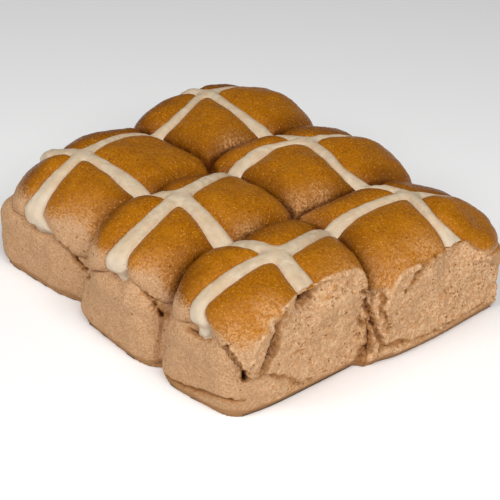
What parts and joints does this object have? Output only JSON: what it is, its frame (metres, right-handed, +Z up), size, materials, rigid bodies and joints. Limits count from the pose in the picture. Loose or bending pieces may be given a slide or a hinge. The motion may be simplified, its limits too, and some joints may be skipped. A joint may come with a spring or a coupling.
{
  "type": "hot cross bun batch",
  "caption": "Batch of domed hot cross buns baked touching, with piped flour paste lines crossing on every bun, and a ragged end where it was torn from a longer batch.",
  "frame": {"origin": "middle of the flat base, at the centre of the batch's bounding box in plan", "axes": "+X runs along the rows of buns towards the torn end, +Y across the rows away from the free side that shows its fold, +Z up through the crowns"},
  "size_m": [0.1925, 0.1611, 0.0571],
  "materials": {
    "crust": "glazed brown crust above a paler matt side and torn crumb",
    "paste": "dry matt baked flour paste"
  },
  "bodies": {
    "root": {"bread": "crust", "piped_crosses": "paste"}
  },
  "joints": []
}
